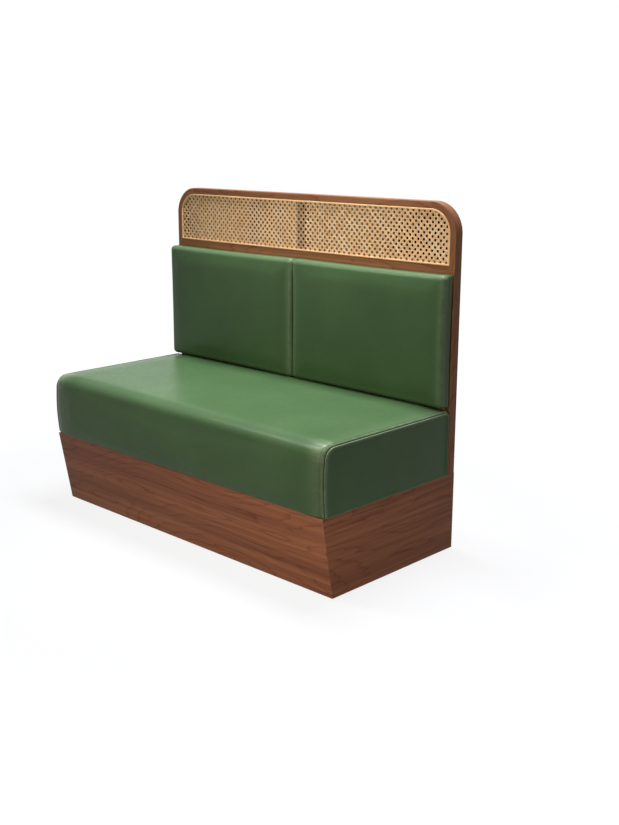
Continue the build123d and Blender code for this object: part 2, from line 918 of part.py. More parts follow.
def fixed_clip(x, z):
    """A plate flat on the backrest with an offset hook that points up."""
    wall = back_front_y
    plate = wall - clip_thickness
    hook_back = plate - 2 * clip_clearance
    hook_front = hook_back - clip_thickness
    shelf = z + clip_plate_height
    tip = shelf + clip_thickness + clip_hook_height
    points = [
        (wall, z),
        (plate, z),
        (plate, shelf),
        (hook_front, shelf),
        (hook_front, tip),
        (hook_back, tip),
        (hook_back, shelf + clip_thickness),
        (wall, shelf + clip_thickness),
    ]
    clip = lengthwise_bar(points, x - clip_length / 2, x + clip_length / 2)
    return cut_all(clip, clip_screw_pair(x, z, loose_fit))


def turned_over(solid, z):
    """The pad's half of a clip or screw, from the fixed half whose foot is at z."""
    middle_y = back_front_y - pad_hang_gap / 2
    hook_room = clip_hook_height + clip_clearance
    middle_z = z + clip_plate_height + clip_thickness + hook_room / 2
    return solid.rotate(Axis((0, middle_y, middle_z), (1, 0, 0)), 180)


def clip_screw_pair(x, z, gap=0.0):
    """The two screws of a fixed clip."""
    length = clip_thickness + board_thickness
    spread = clip_screw_share * clip_length
    return [
        clip_screw(
            (x + side * spread, back_front_y - clip_thickness, z + clip_screw_inset),
            (0, 1, 0),
            length,
            gap,
        )
        for side in (-1, 1)
    ]


def panel_clip_screws(gap=0.0):
    screws = [one for x, z in clip_places() for one in clip_screw_pair(x, z, gap)]
    return screws + [mirrored(one) for one in screws]


def pad_clips():
    return [turned_over(fixed_clip(x, z), z) for x, z in clip_places()]


def pad_clip_screws(gap=0.0):
    return [turned_over(one, z) for x, z in clip_places() for one in clip_screw_pair(x, z, gap)]


def make_panel_clips():
    clips = [fixed_clip(x, z) for x, z in clip_places()]
    parts["panel_clips"] = together(clips + [mirrored(clip) for clip in clips])
    parts["panel_clip_screws"] = together(panel_clip_screws())


make_plinth_panels()
make_plinth_frame()
make_plinth_fittings()
make_stiles()
make_rails()
make_corner_blocks()
make_back_carcase()
make_cane()
make_seat_cover()
make_seat_frame()
make_seat_straps()
make_pads()
make_panel_clips()

os.makedirs("parts", exist_ok=True)
for name, shape in parts.items():
    export_step(shape, f"parts/{name}.step")
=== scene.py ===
import json
from functools import cache, partialmethod
from math import cos, exp, pi, sin, sqrt

import bmesh
import bpy
import numpy as np
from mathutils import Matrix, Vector
from mathutils.bvhtree import BVHTree


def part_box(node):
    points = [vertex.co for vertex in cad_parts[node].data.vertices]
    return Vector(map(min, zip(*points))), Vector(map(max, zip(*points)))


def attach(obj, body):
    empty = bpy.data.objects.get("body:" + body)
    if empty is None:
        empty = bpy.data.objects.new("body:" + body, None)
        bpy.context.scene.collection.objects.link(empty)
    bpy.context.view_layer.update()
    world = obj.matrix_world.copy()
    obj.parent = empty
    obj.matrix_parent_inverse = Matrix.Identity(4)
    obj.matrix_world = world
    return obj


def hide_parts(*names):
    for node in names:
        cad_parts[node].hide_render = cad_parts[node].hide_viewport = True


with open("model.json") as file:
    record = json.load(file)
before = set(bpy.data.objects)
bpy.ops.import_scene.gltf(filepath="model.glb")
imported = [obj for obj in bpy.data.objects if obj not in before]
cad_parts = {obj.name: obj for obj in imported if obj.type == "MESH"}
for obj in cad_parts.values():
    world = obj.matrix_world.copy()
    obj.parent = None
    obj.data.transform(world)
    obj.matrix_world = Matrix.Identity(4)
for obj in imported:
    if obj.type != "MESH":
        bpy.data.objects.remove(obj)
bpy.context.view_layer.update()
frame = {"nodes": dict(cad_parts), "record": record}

# Two-seat restaurant booth bench. Lengths are in metres, in the frame's own axes.

# Places read from the frame
stile_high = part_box("right_stile")[1]
rail_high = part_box("top_rail")[1]
cane_low, cane_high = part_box("front_cane")
rear_cane_low, rear_cane_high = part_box("rear_cane")
bar_low, bar_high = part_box("cane_mullion")
seat_low, seat_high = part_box("seat_cover")
end_low, end_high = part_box("seat_right_end_panel")
cloth_low, cloth_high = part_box("seat_dust_cloth")
pad_low, pad_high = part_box("right_pad_cover")
board_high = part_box("right_pad_board")[1]
corner_x, corner_z = rail_high.x, stile_high.z
frame_outer_radius = stile_high.x - corner_x

# Seat cushion
seat_crown = 0.005
seat_end_crown_share = 0.3
seat_front_bulge = 0.005
seat_front_draw_in = 0.002
seat_front_roll = 0.038
seat_back_roll = 0.016
seat_tuck_roll = 0.007
seat_tuck_in = 0.003
seat_swell = 0.0015
seat_swell_cap = 0.003
seat_column_width = 0.0125
# Points on the side outline: back, back roll, top, front roll, front, tuck roll and underside
outline_counts = (12, 6, 40, 14, 16, 5, 30)

# Sewn ends of the seat: a top-stitched band beside each seam, and the end panel's rolled rim
seam_distances = (
    0.0, 0.0005, 0.0012, 0.0022, 0.0034, 0.005, 0.0066, 0.0078, 0.0086, 0.0094, 0.0102, 0.0114, 0.0135,
    0.0175, 0.023, 0.03, 0.04, 0.052, 0.065, 0.08, 0.095,
)
seam_top_roll = (0.0085, 0.0095)
seam_front_roll = (0.03, 0.012)
seam_band = 0.0092
seam_band_rise = 0.0011
seam_dip = 0.0014
seam_dip_width = 0.0012
seam_draw = 0.0055
# Painted shade in the shut of each seam: its reach and sharpness on the cushion
painted_seam_shade_reach = 0.0016
painted_seam_shade_sharpness = 4
end_rim_drops = (0.0095, 0.012)
end_rim_roll = (
    (0.0066, -0.0006), (0.0042, -0.0005), (0.002, -0.0001), (0.0007, 0.0009), (0.0, 0.0024),
    (0.0003, 0.0037), (0.0013, 0.0048), (0.003, 0.0054), (0.0052, 0.0053),
)
# Painted shade on the end panel's first rings, in the seam shut
end_rim_painted_shades = (1.0, 1.0, 0.9, 0.2)
# Lighter rub on the end rim, by the seam edge and on the seat's rolls and front near the ends: partly wear,
# partly painted highlight
end_rim_rub_highlights = (0.0, 0.0, 0.0, 0.2, 0.8, 1.0, 0.8, 0.4)
seam_edge_rub_highlight = 0.9
seam_edge_rub_highlight_place = (0.0042, 0.0024)
rub_highlight_reach = 0.042
rub_highlight_shares = (0.2, 0.9, 0.42)
rub_highlight_roll_share = 1.4
end_field_rings = (
    (0.985, 0.0036), (0.965, 0.0029), (0.93, 0.0028), (0.85, 0.0031), (0.7, 0.0034), (0.5, 0.0035),
)
end_core_shares = (0.75, 0.5, 0.25)

# Back pads
pad_roll = 0.015
pad_back_roll = 0.004
pad_crown = 0.005
pad_draw_in = 0.002
pad_flange = 0.038
pad_swell_cap = 0.0025
pad_fall = 0.0038
pad_fall_width = 0.062
# Lighter rub on the pads' edge rolls: partly wear, partly painted highlight
pad_rub_highlight = 0.6
pad_end_rub_highlight_share = 0.3
pad_rub_highlight_depth_share = 1.2
pad_bow_power = 12
pad_freedom_power = 8
pad_slack = 0.0004
pad_grid = 0.0115
pad_roll_cells = 6
pad_depth_lines = 4
pad_back_lines = 3

# Stuffing, as a cloth under pressure
stuffing_quality = 6
stuffing_pressure = 4.0
stuffing_steps = 20

# Stitching
stitch_pitch = 0.0046
stitch_length = 0.0032
stitch_radius = 0.00042
stitch_rows = (0.0030, 0.0088)
stitch_lift_share = 0.4

# Woven cane
cane_pitch = 0.0148
cane_pair_gap = 0.0018
cane_pair_width = 0.0024
cane_single_width = 0.0021
rear_cane_pitch = 0.01453
rear_cane_shift = (-0.0011, 0.0074)
cane_strand_thickness = 0.00042
cane_pair_rise = 0.00023
cane_single_rise = 0.00037
cane_sample_share = 0.25

# Cloths
dust_cloth_sag = 0.0015
dust_cloth_lines = (49, 25)
cloth_thickness = 0.0006
lining_thickness = 0.0004
lining_cells = (96, 12)

# Camera and studio
camera_place = (2.48624, -2.29972, 1.25228)
camera_pitch = -0.245
camera_turn = 0.777
camera_lens = 47.543
camera_shift = (0.02102, -0.01167)
floor_half, floor_near, floor_far = 14.0, 1.0, 2.4
floor_near_white = 0.86
floor_grey = 0.09
world_strength = 0.18
white_light, warm_light = (1.0, 1.0, 1.0), (1.0, 0.92, 0.84)
# Lamps: place, target, width and height, watts, tint and spread angle
lamps = {
    "overhead_softbox": ((0.08, 0.31, 2.7), (0.06, -0.02, 0.4), (1.3, 0.6), 119.0, (0.84, 0.87, 1.0), pi),
    "corner_strip": ((-0.8, -0.95, 2.25), (0.6, -0.28, 0.43), (0.12, 1.1), 4.8, white_light, 1.2),
    "warm_front_strip": ((0.7, -3.2, 0.82), (0.5, 0.0, 0.5), (0.16, 1.5), 5.4, (1.0, 0.9, 0.76), 1.57),
    "plinth_fill": ((2.4, -1.8, 0.35), (0.55, -0.25, 0.1), (0.5, 0.3), 0.24, warm_light, 0.45),
    "side_fill": ((3.2, -1.2, 1.0), (0.0, 0.0, 0.3), (0.8, 0.8), 4.0, white_light, pi),
    "rear_fill": ((0.0, 3.2, 1.5), (0.0, 0.3, 0.6), (1.2, 0.8), 16.0, white_light, pi),
    "window_strip": ((0.3, -1.3, 1.75), (0.08, cane_low.y, 1.01), (1.2, 0.2), 0.38, white_light, 0.45),
}


# Colours and node trees
def colour(*levels):
    """A linear colour from its usual 0 to 255 values."""
    shares = [level / 255 for level in levels]
    return (*[s / 12.92 if s <= 0.04045 else ((s + 0.055) / 1.055) ** 2.4 for s in shares], 1.0)


hide, faded_hide, mottled_hide = colour(65, 90, 55), colour(73, 99, 61), colour(61, 85, 51)
# Near-black seam colour: painted shade in the seam shut. Pale worn colour: wear with a painted highlight.
hide_pores, worn_and_highlit_hide, painted_seam_shadow = colour(40, 56, 36), colour(130, 147, 110), colour(14, 20, 12)
dark_cane, cane_body, pale_cane = colour(218, 160, 106), colour(252, 208, 154), colour(255, 231, 190)
aged_cane, cane_shadow = colour(232, 176, 120), colour(96, 58, 36)
dark_thread, pale_thread = colour(34, 54, 36), colour(74, 104, 70)
foam_cells, foam_walls, foam_stain = colour(172, 160, 116), colour(226, 216, 176), colour(206, 190, 140)
dull_zinc, bright_zinc = colour(168, 170, 172), colour(192, 194, 190)
black_nylon, scuffed_nylon = colour(24, 24, 25), colour(52, 51, 50)


class Wiring:
    """Adds nodes to a tree. Each call wires one node's inputs and gives back its output."""

    def __init__(self, tree):
        self.tree = tree

    def add(self, kind, inputs=(), output=0, **settings):
        node = self.tree.nodes.new(kind)
        for name, value in settings.items():
            setattr(node, name, value)
        pairs = inputs.items() if isinstance(inputs, dict) else enumerate(inputs)
        for key, value in pairs:
            self.put(node.inputs[key], value)
        return node.outputs[output]

    def put(self, socket, value):
        if isinstance(value, bpy.types.NodeSocket):
            self.tree.links.new(value, socket)
        elif value is not None:
            socket.default_value = value

    def math(self, operation, *values):
        return self.add("ShaderNodeMath", values, operation=operation)

    plus = partialmethod(math, "ADD")
    minus = partialmethod(math, "SUBTRACT")
    times = partialmethod(math, "MULTIPLY")
    over = partialmethod(math, "DIVIDE")
    most = partialmethod(math, "MAXIMUM")

    def past(self, value, limit):
        return self.most(self.minus(value, limit), 0.0)

    def length(self, a, b):
        return self.math("SQRT", self.plus(self.times(a, a), self.times(b, b)))

    def vector(self, x=0.0, y=0.0, z=0.0):
        return self.add("ShaderNodeCombineXYZ", (x, y, z))

    def spread(self, value, low, high, to_low=0.0, to_high=1.0):
        inputs = {"Value": value, "From Min": low, "From Max": high, "To Min": to_low, "To Max": to_high}
        return self.add("ShaderNodeMapRange", inputs)

    def parts(self, vector, axes="XYZ"):
        return [self.add("ShaderNodeSeparateXYZ", (vector,), axis) for axis in axes]


class Paint(Wiring):
    """The wiring of one material. Its place is the object's own coordinates."""

    def __init__(self, name, **sockets):
        self.material = bpy.data.materials.new(name)
        self.material.use_nodes = True
        super().__init__(self.material.node_tree)
        self.shader = self.tree.nodes["Principled BSDF"]
        for socket, value in sockets.items():
            self.shader.inputs[socket.replace("_", " ")].default_value = value
        self.place = self.add("ShaderNodeTexCoord", output="Object")

    def marked(self, name):
        return self.add("ShaderNodeAttribute", output="Fac", attribute_name=name)

    def scaled(self, vector, scale, shift=(0, 0, 0)):
        return self.add("ShaderNodeMapping", {"Vector": vector, "Scale": scale, "Location": shift})

    def noise(self, vector, scale=1.0, detail=2.0, roughness=0.5, distortion=0.0):
        inputs = {"Vector": vector, "Scale": scale, "Detail": detail, "Roughness": roughness}
        return self.add("ShaderNodeTexNoise", {**inputs, "Distortion": distortion}, "Fac")

    def ramp(self, value, *stops):
        socket = self.add("ShaderNodeValToRGB", (value,))
        band = socket.node.color_ramp
        while len(band.elements) < len(stops):
            band.elements.new(1.0)
        for element, (at, shade) in zip(band.elements, stops):
            element.position = at
            element.color = shade
        return socket

    def mix(self, share, first, second):
        return self.add("ShaderNodeMix", {0: share, 6: first, 7: second}, 2, data_type="RGBA")

    def bump(self, height, depth, strength, under=None):
        inputs = {"Height": height, "Distance": depth, "Strength": strength, "Normal": under}
        return self.add("ShaderNodeBump", inputs)

    def finish(self, shade, roughness, normal):
        for socket, value in (("Base Color", shade), ("Roughness", roughness), ("Normal", normal)):
            self.put(self.shader.inputs[socket], value)
        return self.material


# Wood
def grain_vector(paint, run):
    """Object coordinates in the order along, across and into the grain."""
    x, y, z = paint.parts(paint.place)
    orders = {"x": (x, z, y), "y": (y, z, x), "z": (z, x, y)}
    if run in orders:
        return paint.vector(*orders[run])
    side = 1 if run == "right" else -1
    out = paint.minus(paint.times(x, side), corner_x)
    up = paint.minus(z, corner_z)
    along = paint.plus(paint.times(paint.math("ARCTAN2", up, out), frame_outer_radius), corner_z)
    across = paint.times(paint.plus(paint.length(out, up), corner_x), side)
    return paint.vector(along, across, y)


def top_edge(paint):
    """How far a place is on the outer skin of the top rail and its round corners, from 0 to 1."""
    x, z = paint.parts(paint.place, "XZ")
    out = paint.past(paint.math("ABSOLUTE", x), corner_x)
    up = paint.past(z, corner_z)
    outside = frame_outer_radius
    skin = paint.spread(paint.length(out, up), outside - top_edge_inner, outside - top_edge_outer)
    return paint.times(skin, paint.spread(up, 0.0, outside * top_edge_rise_share))


@cache
def wood(kind, run):
    """Planed wood whose growth lines, fibres and pores run along one axis or round a corner."""
    shades, lacquer, roughness, figure = wood_looks[kind]
    dark, middle, light = (colour(*levels) for levels in shades)
    paint = Paint(f"{kind}_{run}", Coat_Weight=lacquer, Coat_Roughness=0.28, Specular_IOR_Level=0.08)
    grain = grain_vector(paint, run)
    noise = {}
    for layer, (along, across, shift, *look) in wood_layers.items():
        noise[layer] = paint.noise(paint.scaled(grain, (along, across, across), shift), 1.0, *look)
    rings = paint.plus(paint.times(noise["drift"], ring_count), paint.times(noise["wander"], ring_wander))
    lines = paint.math("POWER", paint.math("FRACT", rings), ring_sharpness)
    tone = paint.minus(noise["streaks"], paint.times(lines, figure * 0.5))
    tone = paint.spread(paint.plus(tone, paint.times(noise["fibres"], 0.3)), 0.15, 1.05)
    shade = paint.ramp(tone, (0.0, dark), (0.42, middle), (1.0, light))
    pitted = paint.spread(noise["pores"], 0.66, 0.74)
    darker = [
        paint.spread(noise["clouds"], 0.35, 0.75, 0.0, 0.35),
        paint.spread(noise["bands"], 0.42, 0.68, 0.0, 0.42),
        paint.times(pitted, 0.55),
    ]
    # Painted shade on the top rail's outer skin and round corners, where the overhead light falls
    if kind == "frame_walnut":
        darker.append(paint.times(top_edge(paint), frame_top_painted_shade))
    for share in darker:
        shade = paint.mix(share, shade, dark)
    height = paint.minus(paint.times(noise["fibres"], 0.6), pitted)
    rough = paint.spread(noise["fibres"], 0.3, 0.7, roughness - 0.05, roughness + 0.07)
    return paint.finish(shade, rough, paint.bump(height, pore_depth, 0.6))


# Repeats a metre along and across the grain, shift, detail, roughness and distortion
wood_layers = {
    "drift": (0.9, 4.6, (0.0, 0.0, 0.0), 2.0, 0.5, 0.3),
    "wander": (3.4, 42.0, (3.1, 0.7, 1.9), 3.0),
    "fibres": (7.0, 420.0, (0.0, 0.0, 0.0), 4.0, 0.62),
    "streaks": (1.1, 105.0, (0.0, 5.0, 2.0), 4.0, 0.6),
    "pores": (40.0, 1500.0, (2.0, 0.0, 0.0)),
    "clouds": (0.7, 4.0, (9.0, 2.0, 4.0)),
    "bands": (0.45, 16.0, (4.0, 7.0, 1.0), 3.0, 0.5, 0.4),
}
ring_count, ring_wander, ring_sharpness = 22.0, 1.1, 6.0
pore_depth = 0.00012
top_edge_inner, top_edge_outer, top_edge_rise_share = 0.0022, 0.0006, 0.6
# Dark, middle and light shades, lacquer, roughness and strength of the growth lines
wood_looks = {
    "walnut": (((84, 42, 25), (164, 100, 67), (206, 140, 100)), 0.03, 0.4, 0.52),
    # The frame's walnut is a darker copy of the plinth's: painted shade against the strong light on its
    # faces
    "frame_walnut": (((84, 46, 26), (154, 101, 66), (192, 138, 95)), 0.03, 0.4, 0.5),
    "plywood": (((168, 133, 92), (198, 164, 118), (216, 186, 142)), 0.0, 0.62, 0.5),
    "pine": (((176, 130, 78), (210, 170, 118), (228, 194, 146)), 0.0, 0.6, 0.8),
    "stained_oak": (((14, 8, 5), (26, 15, 10), (42, 26, 17)), 0.0, 0.55, 0.6),
    "beech": (((172, 128, 92), (202, 160, 122), (218, 182, 146)), 0.0, 0.55, 0.25),
}
# Share of painted shade on the frame's top skin
frame_top_painted_shade = 0.6
corner_runs = {"left_top_corner": "left", "right_top_corner": "right"}
frame_nodes = ("left_stile", "right_stile", "top_rail", "middle_rail", *corner_runs)


# Leather, cane, thread and the hidden materials
pebbles_per_metre, pebble_depth, soft_crease_depth = 780.0, 0.00016, 0.0035
ridge_depth = 0.00006
# Painted shade on the cane in front of the bar: how far it fades past the bar's edge
bar_painted_shade_reach = 0.008


def leather():
    """Smooth semi-gloss upholstery leather with a fine pebble grain and soft creases."""
    paint = Paint("green_leather_hide", Specular_IOR_Level=0.12)
    place = paint.place
    pebbles = {"Vector": place, "Scale": pebbles_per_metre}
    cells = paint.add("ShaderNodeTexVoronoi", pebbles, "Distance", feature="SMOOTH_F1")
    pebble = paint.plus(cells, paint.times(paint.noise(place, 2400.0, 3.0), 0.35))
    mottle = paint.noise(place, 60.0, 4.0, 0.6)
    shade = paint.mix(paint.spread(paint.noise(place, 4.2, 3.0), 0.3, 0.7), hide, faded_hide)
    shade = paint.mix(paint.spread(mottle, 0.35, 0.75, 0.0, 0.35), shade, mottled_hide)
    shade = paint.mix(paint.spread(cells, 0.0, 0.5, 0.16, 0.0), shade, hide_pores)
    # Rubbed places turn lighter: partly wear, partly a painted highlight on rolls, corners and the seam
    # rim.
    rub = paint.times(paint.marked("rub"), paint.spread(mottle, 0.3, 0.7, 0.5, 1.0))
    shade = paint.mix(rub, shade, worn_and_highlit_hide)
    # Painted shade in the shut of the seams.
    shade = paint.mix(paint.marked("painted_seam_shade_share"), shade, painted_seam_shadow)
    soft = paint.noise(paint.scaled(place, (1.0, 1.0, 1.6)), 11.0, 2.0, 0.45)
    normal = paint.bump(pebble, pebble_depth, 0.32, paint.bump(soft, soft_crease_depth, 0.35))
    rough = paint.minus(paint.spread(mottle, 0.3, 0.7, 0.32, 0.39), paint.times(rub, 0.13))
    return paint.finish(shade, rough, normal)


def cane_skin(name, strands, painted_shade_all_over=0.0, bar_painted_shade=0.0):
    """Split cane. Woven strands carry a tint each, with painted shade over a whole sheet in shade and where
    they lie on the bar.
    """
    paint = Paint(name, Specular_IOR_Level=0.2)
    fleck = paint.noise(paint.place, 420.0, 4.0, 0.6)
    patch = paint.noise(paint.place, 24.0, 2.0)
    tint = paint.marked("tint") if strands else patch
    tone = paint.plus(paint.times(tint, 0.55), paint.times(fleck, 0.45))
    shade = paint.ramp(tone, (0.1, dark_cane), (0.5, cane_body), (0.9, pale_cane))
    shade = paint.mix(paint.spread(patch, 0.4, 0.8, 0.0, 0.4), shade, aged_cane)
    # Painted shade over a whole sheet.
    if painted_shade_all_over:
        shade = paint.mix(painted_shade_all_over, shade, cane_shadow)
    # Painted shade on the strands in front of the bar.
    if bar_painted_shade:
        across = paint.parts(paint.place, "X")[0]
        from_bar = paint.math("ABSOLUTE", paint.minus(across, (bar_low.x + bar_high.x) / 2))
        bar_edge = (bar_high.x - bar_low.x) / 2
        painted_shade_by_bar = paint.spread(from_bar, bar_edge, bar_edge + bar_painted_shade_reach, bar_painted_shade, 0.0)
        shade = paint.mix(painted_shade_by_bar, shade, cane_shadow)
    ridges = paint.bump(paint.noise(paint.place, 1500.0, 2.0), ridge_depth, 0.5)
    return paint.finish(shade, paint.spread(fleck, 0.3, 0.7, 0.36, 0.5), ridges)


def thread():
    paint = Paint("stitch_thread", Specular_IOR_Level=0.3)
    strands = {"Vector": paint.place, "Scale": 900.0, "Distortion": 1.5}
    twist = paint.add("ShaderNodeTexWave", strands, "Fac", bands_direction="DIAGONAL")
    shade = paint.mix(paint.spread(twist, 0.2, 0.8), dark_thread, pale_thread)
    return paint.finish(shade, 0.55, paint.bump(twist, 0.00008, 0.7))


def woven(name, first, second, pitch, roughness):
    """A plain weave of two thread directions, for webbing and cloth."""
    paint = Paint(name, Specular_IOR_Level=0.25)
    threads = {"Vector": paint.place, "Scale": 1 / pitch}
    warp = paint.add("ShaderNodeTexWave", threads, "Fac", bands_direction="X")
    weft = paint.add("ShaderNodeTexWave", threads, "Fac", bands_direction="Y")
    weave = paint.times(warp, weft)
    fuzz = paint.noise(paint.place, 900.0, 3.0, 0.6)
    shade = paint.mix(paint.plus(paint.times(weave, 0.7), paint.times(fuzz, 0.3)), first, second)
    return paint.finish(shade, roughness, paint.bump(weave, 0.0002, 0.6))


def open_foam():
    paint = Paint("seat_foam_cells", Specular_IOR_Level=0.2)
    cells = paint.add("ShaderNodeTexVoronoi", {"Vector": paint.place, "Scale": 600.0}, "Distance")
    shade = paint.mix(paint.spread(cells, 0.0, 0.6), foam_cells, foam_walls)
    shade = paint.mix(paint.spread(paint.noise(paint.place, 8.0), 0.3, 0.7, 0.0, 0.3), shade, foam_stain)
    return paint.finish(shade, 0.9, paint.bump(cells, 0.0006, 0.8))


def plated_steel():
    paint = Paint("zinc_plating", Metallic=1.0)
    spangle = paint.add("ShaderNodeTexVoronoi", {"Vector": paint.place, "Scale": 260.0}, "Color")
    flake = paint.add("ShaderNodeSeparateColor", (spangle,))
    rub = paint.noise(paint.scaled(paint.place, (1.0, 1.0, 6.0)), 700.0, 3.0)
    shade = paint.mix(flake, dull_zinc, bright_zinc)
    return paint.finish(shade, paint.spread(rub, 0.3, 0.7, 0.26, 0.44), paint.bump(rub, 0.00004, 0.4))


def glide_nylon():
    paint = Paint("glide_nylon", Specular_IOR_Level=0.35)
    speck = paint.noise(paint.place, 1400.0, 3.0)
    scuff = paint.spread(paint.noise(paint.place, 90.0, 3.0), 0.4, 0.7, 0.0, 0.5)
    shade = paint.mix(scuff, black_nylon, scuffed_nylon)
    return paint.finish(shade, paint.spread(speck, 0.3, 0.7, 0.5, 0.65), paint.bump(speck, 0.00005, 0.5))


leather_hide = leather()
lining_cloth = woven("cane_lining", colour(38, 23, 15), colour(96, 64, 43), 0.0034, 0.85)
# The front sheet gets painted shade where it lies on the bar.
front_weave = cane_skin("front_cane_weave", True, bar_painted_shade=0.42)
# The rear sheet is a darker copy of the cane: painted shade.
rear_weave_in_painted_shade = cane_skin("rear_cane_weave", True, 0.66)
other_finishes = {
    "cane": cane_skin("cane_bead", False),
    "green_leather": leather_hide,
    "foam": open_foam(),
    "webbing": woven("elastic_webbing", colour(22, 22, 25), colour(58, 58, 64), 0.004, 0.8),
    "black_cloth": woven("dust_cloth", colour(12, 12, 13), colour(34, 34, 36), 0.0022, 0.85),
    "zinc_steel": plated_steel(),
    "glide_plastic": glide_nylon(),
}


def dress_nodes():
    """Gives every carried-over node the finish of its slot, with the grain along its longest side."""
    for subpart in frame["record"]["subparts"]:
        name, slot = subpart["node"], subpart["material_slot"]
        if slot in wood_looks:
            low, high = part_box(name)
            run = corner_runs.get(name, "xyz"[np.argmax(high - low)])
            finish = wood("frame_walnut" if name in frame_nodes else slot, run)
        else:
            finish = other_finishes[slot]
        materials = frame["nodes"][name].data.materials
        materials.clear()
        materials.append(finish)


# Meshes
tiny = 1e-9


def add_object(name, data):
    """A new object in the scene that shows a mesh, a curve, a lamp or a camera."""
    item = bpy.data.objects.new(name, data)
    bpy.context.scene.collection.objects.link(item)
    return item


def finished_mesh(item):
    """The mesh of an object with its modifiers worked out."""
    graph = bpy.context.evaluated_depsgraph_get()
    return bpy.data.meshes.new_from_object(item.evaluated_get(graph), depsgraph=graph)


def new_piece(name, points, faces, material):
    """A smooth closed mesh whose faces point outwards."""
    mesh = bpy.data.meshes.new(name)
    mesh.from_pydata([tuple(point) for point in points], [], faces)
    shell = bmesh.new()
    shell.from_mesh(mesh)
    bmesh.ops.recalc_face_normals(shell, faces=shell.faces)
    shell.to_mesh(mesh)
    shell.free()
    mesh.materials.append(material)
    piece = add_object(name, mesh)
    smooth(piece)
    return piece


def smooth(piece):
    piece.data.polygons.foreach_set("use_smooth", np.ones(len(piece.data.polygons), bool))


def coordinates(mesh):
    flat = np.zeros(len(mesh.vertices) * 3)
    mesh.vertices.foreach_get("co", flat)
    return flat.reshape(-1, 3)


def subdivide(piece):
    """Makes the skin finer and rounder, as part of its mesh."""
    finer = piece.modifiers.new("finer", "SUBSURF")
    finer.levels = finer.render_levels = 1
    old, piece.data = piece.data, finished_mesh(piece)
    piece.modifiers.clear()
    bpy.data.meshes.remove(old)
    smooth(piece)
    return piece


def mark(piece, name, shares):
    """Marks each point's share of painted shade in the shut of a seam, or of rub with a painted highlight
    on a worn edge.
    """
    attribute = piece.data.attributes.new(name, "FLOAT", "POINT")
    attribute.data.foreach_set("value", np.asarray(shares, np.float32))


def inflate(piece, held, freedom, cap, low, high):
    """Blows the cover up like stuffing. Held points stay, and freedom tapers how far the others move."""
    start = coordinates(piece.data)
    pins = piece.vertex_groups.new(name="held")
    pins.add([int(index) for index in np.flatnonzero(held)], 1.0, "REPLACE")
    stuffing = piece.modifiers.new("stuffing", "CLOTH")
    settings = stuffing.settings
    settings.quality = stuffing_quality
    settings.vertex_group_mass = "held"
    settings.use_pressure = True
    settings.uniform_pressure_force = stuffing_pressure
    settings.effector_weights.gravity = 0.0
    for step in range(1, stuffing_steps + 1):
        bpy.context.scene.frame_set(step)
    graph = bpy.context.evaluated_depsgraph_get()
    moved = coordinates(piece.evaluated_get(graph).data) - start
    piece.modifiers.remove(stuffing)
    piece.vertex_groups.clear()
    bpy.context.scene.frame_set(1)
    reach = np.linalg.norm(moved, axis=1, keepdims=True)
    moved *= cap * np.tanh(reach / cap) / np.maximum(reach, tiny) * freedom[:, None]
    piece.data.vertices.foreach_set("co", np.clip(start + moved, low, high).ravel())
    piece.data.update()


# Seat
def arc(centre, radius, start, end, count):
    """Points on a circle in the Y and Z plane, from one angle to another."""
    angles = np.linspace(start, end, count, endpoint=False)
    return [(centre[0] + radius * cos(a), centre[1] + radius * sin(a)) for a in angles]


def line(start, end, count):
    return [
        (start[0] + (end[0] - start[0]) * s, start[1] + (end[1] - start[1]) * s)
        for s in np.linspace(0, 1, count, endpoint=False)
    ]


def seam_drop(distance, reach, depth):
    """How far the cover lies below its plain outline near an end seam, with its top-stitched band."""
    left = max(0.0, 1 - distance / reach)
    roll = depth * (1 - sqrt(1 - left * left))
    band = seam_band_rise * max(0.0, 1 - (2 * distance / seam_band - 1) ** 4)
    dip = seam_dip * exp(-(((distance - seam_band) / seam_dip_width) ** 2))
    draw = seam_draw * max(0.0, 1 - distance / seam_distances[-1]) ** 2
    return roll + dip + draw - band


def seat_section(share, drop, front_drop):
    """The seat's side outline at a place along the seat, drawn in on top and behind, and in front."""
    low, rear = seat_low.z, seat_high.y - drop
    top = seat_high.z - seat_crown - drop
    front = seat_low.y + seat_front_bulge + front_drop + seat_front_draw_in * (1 - share**2)
    crown = seat_crown * (1 - (1 - seat_end_crown_share) * share**2) - seat_swell
    counts = outline_counts
    points = line((rear, low), (rear, top - seat_back_roll), counts[0])
    points += arc((rear - seat_back_roll, top - seat_back_roll), seat_back_roll, 0, pi / 2, counts[1])
    for s in np.linspace(0, 1, counts[2], endpoint=False):
        y = rear - seat_back_roll + (front + seat_front_roll - rear + seat_back_roll) * s
        points.append((y, top + crown * (1 - (2 * s - 1) ** 2)))
    roll_centre = (front + seat_front_roll, top - seat_front_roll)
    points += arc(roll_centre, seat_front_roll, pi / 2, pi, counts[3])
    tucked = front + seat_tuck_in
    for s in np.linspace(0, 1, counts[4], endpoint=False):
        z = top - seat_front_roll + (low + seat_tuck_roll - top + seat_front_roll) * s
        bulge = seat_front_bulge * sin(pi * s) * (1 - seat_swell / seat_crown)
        points.append((front + seat_tuck_in * s**2 - bulge, z))
    tuck_centre = (tucked + seat_tuck_roll, low + seat_tuck_roll)
    points += arc(tuck_centre, seat_tuck_roll, pi, 3 * pi / 2, counts[5])
    points += line((tucked + seat_tuck_roll, low), (rear, low), counts[6])
    return points


def ring_faces(before, after, count):
    """Quads between two rings of points, each ring named by the number of its first point."""
    faces = []
    for i in range(count):
        j = (i + 1) % count
        faces.append((before + i, before + j, after + j, after + i))
    return faces


def tube_faces(count, rings):
    faces = []
    for ring in range(rings - 1):
        faces += ring_faces(ring * count, (ring + 1) * count, count)
    return faces


